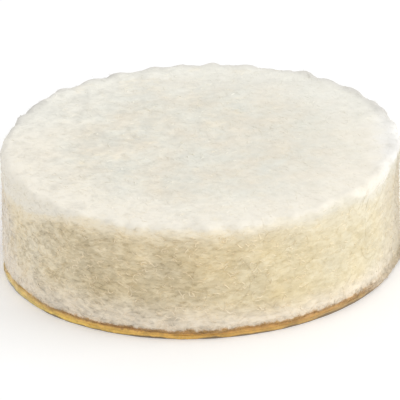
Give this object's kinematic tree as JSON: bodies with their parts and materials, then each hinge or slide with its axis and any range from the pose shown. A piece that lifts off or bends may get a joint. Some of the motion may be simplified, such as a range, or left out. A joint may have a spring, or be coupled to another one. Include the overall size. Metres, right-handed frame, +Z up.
{
  "type": "felt furniture pad",
  "caption": "Thick round self-adhesive felt pad on a yellow release paper, stuck under a furniture foot so that it slides without scratching the floor.",
  "frame": {"origin": "middle of the release paper's underside, on which the pad lies", "axes": "+Z up through the layers, from the paper to the felt; -Y is the side that the picture shows and +X is to its right"},
  "size_m": [0.0202, 0.0201, 0.0062],
  "materials": {
    "felt": "matte",
    "adhesive": "satin",
    "liner_paper": "satin"
  },
  "bodies": {
    "root": {"felt_disc": "felt", "adhesive_layer": "adhesive", "release_liner": "liner_paper"}
  },
  "joints": []
}
